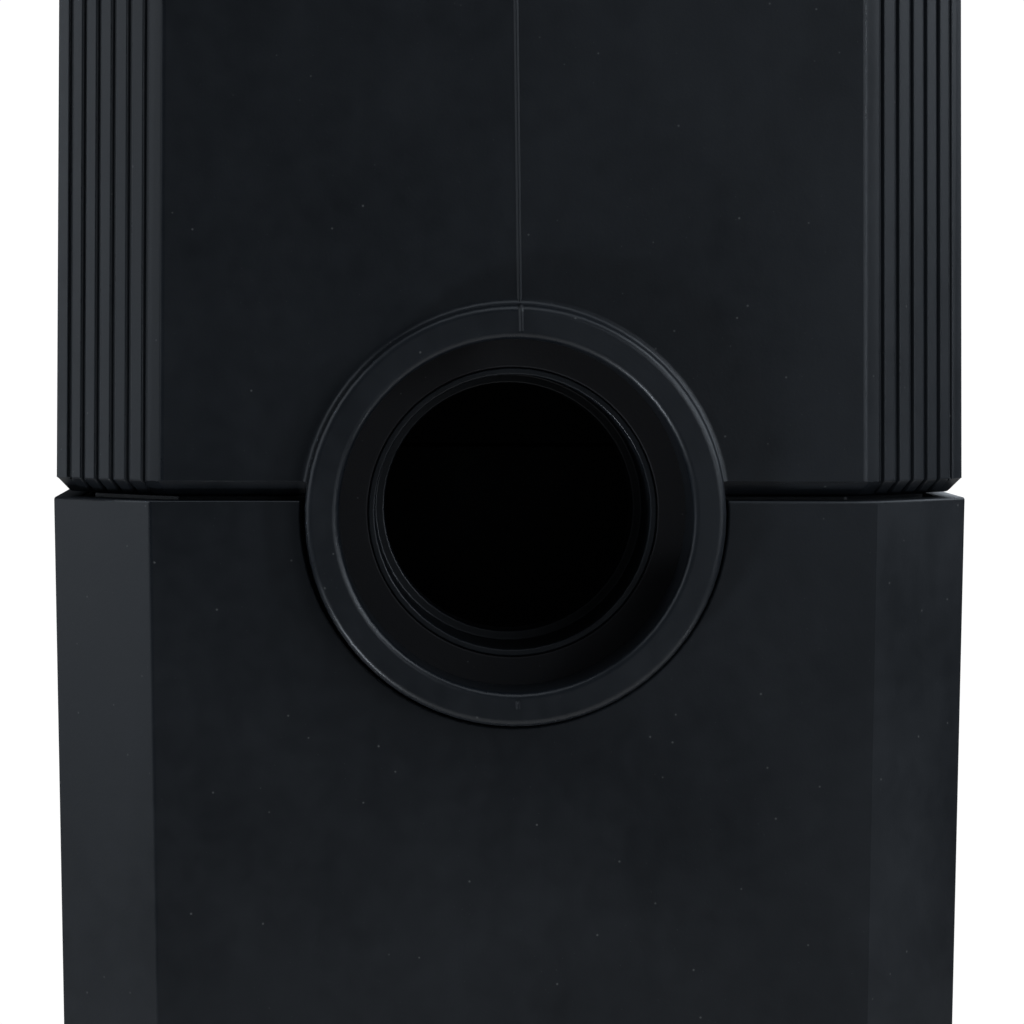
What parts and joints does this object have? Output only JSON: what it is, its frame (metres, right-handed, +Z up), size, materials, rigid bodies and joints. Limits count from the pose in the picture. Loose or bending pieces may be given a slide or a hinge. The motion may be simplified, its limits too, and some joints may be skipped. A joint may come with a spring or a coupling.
{
  "type": "protein skimmer",
  "caption": "Black square-column skimmer: pump in a lower housing, ribbed bubble chamber with an outlet socket at the joint, and a clear foam cup on top.",
  "frame": {"origin": "on the surface it stands on, under the centre of the overall plan", "axes": "+Z up the column; the outlet socket faces -Y; +X is to the right, seen from the socket's side"},
  "size_m": [0.1336, 0.1465, 0.4738],
  "materials": {
    "housing": "satin moulded, faint blue-black, fine flow mottling",
    "pump_plastic": "satin moulded, dark grey",
    "rubber": "matt, slightly dusty",
    "potting": "cast resin with soft ripples",
    "steel": "turned, pan heads with a hexagon socket",
    "ceramic": "polished ceramic",
    "bush": "bearing plastic, ivory",
    "magnet": "plastic-coated ferrite",
    "white_plastic": "moulded, slightly translucent",
    "foam": "open-cell foam",
    "clear_smoke": "clear acrylic with a grey tint",
    "red_plastic": "moulded lever, glossy"
  },
  "bodies": {
    "base": {"lower_housing": "housing", "foot_pads": "rubber", "cable_gland": "rubber", "cradle_mounts": "rubber", "pump_cradle": "pump_plastic", "cradle_screws": "steel", "motor_housing": "potting", "motor_gland": "rubber", "volute": "pump_plastic", "volute_seal": "rubber", "pump_cover": "pump_plastic", "cover_screws": "steel", "rear_bush": "bush", "front_bush": "bush", "pump_riser": "pump_plastic", "air_pickup": "pump_plastic"},
    "screen": {"intake_screen": "housing"},
    "rotor": {"rotor_shaft": "ceramic", "rotor_magnet": "magnet", "needle_wheel": "white_plastic"},
    "upper": {"upper_housing": "housing", "housing_gasket": "rubber", "riser_seal": "rubber", "socket_seal": "rubber", "bubble_plate": "pump_plastic", "gate_frame": "pump_plastic", "spindle_bush": "bush", "top_deck": "housing", "deck_gasket": "rubber", "deck_screws": "steel", "air_snorkel": "pump_plastic", "air_valve_body": "housing", "silencer_shell": "housing", "silencer_foam": "foam"},
    "gate": {"outlet_gate": "pump_plastic"},
    "level": {"gate_spindle": "steel", "level_knob": "housing"},
    "air": {"air_knob": "housing"},
    "cup": {"collection_cup": "clear_smoke", "cup_seal": "rubber", "drain_nipple": "housing", "drain_tap": "housing"},
    "tap": {"drain_lever": "red_plastic"},
    "lid": {"cup_lid": "housing", "lid_seal": "rubber"}
  },
  "joints": [
    {"name": "upper_lift", "type": "slide", "parent": "base", "child": "upper", "axis": [0, 0, 1], "range_m": [0, 0.06]},
    {"name": "screen_pull", "type": "slide", "parent": "base", "child": "screen", "axis": [0, 0.9999, -0.0157], "range_m": [0, 0.03]},
    {"name": "rotor_spin", "type": "hinge", "parent": "base", "child": "rotor", "pos_m": [0, 0, 0.043], "axis": [0, 1, 0], "continuous": true},
    {"name": "level_turn", "type": "hinge", "parent": "upper", "child": "level", "pos_m": [0, -0.0555, 0.36], "axis": [0, 0, 1], "range_deg": [0, 2700]},
    {"name": "gate_slide", "type": "slide", "parent": "upper", "child": "gate", "axis": [0, 0, 1], "range_m": [-0.042, 0]},
    {"name": "air_turn", "type": "hinge", "parent": "upper", "child": "air", "pos_m": [0.0465, 0.05, 0.416], "axis": [0, 0, 1], "range_deg": [0, 170]},
    {"name": "cup_lift", "type": "slide", "parent": "upper", "child": "cup", "axis": [0, 0, 1], "range_m": [0, 0.09]},
    {"name": "tap_turn", "type": "hinge", "parent": "cup", "child": "tap", "pos_m": [0, 0.063, 0.39], "axis": [0, 0, 1], "range_deg": [0, 90]},
    {"name": "lid_lift", "type": "slide", "parent": "cup", "child": "lid", "axis": [0, 0, 1], "range_m": [0, 0.04]}
  ],
  "couplings": [
    {"joint": "gate_slide", "follows": "level_turn", "m_per_rad": -0.00089127}
  ]
}
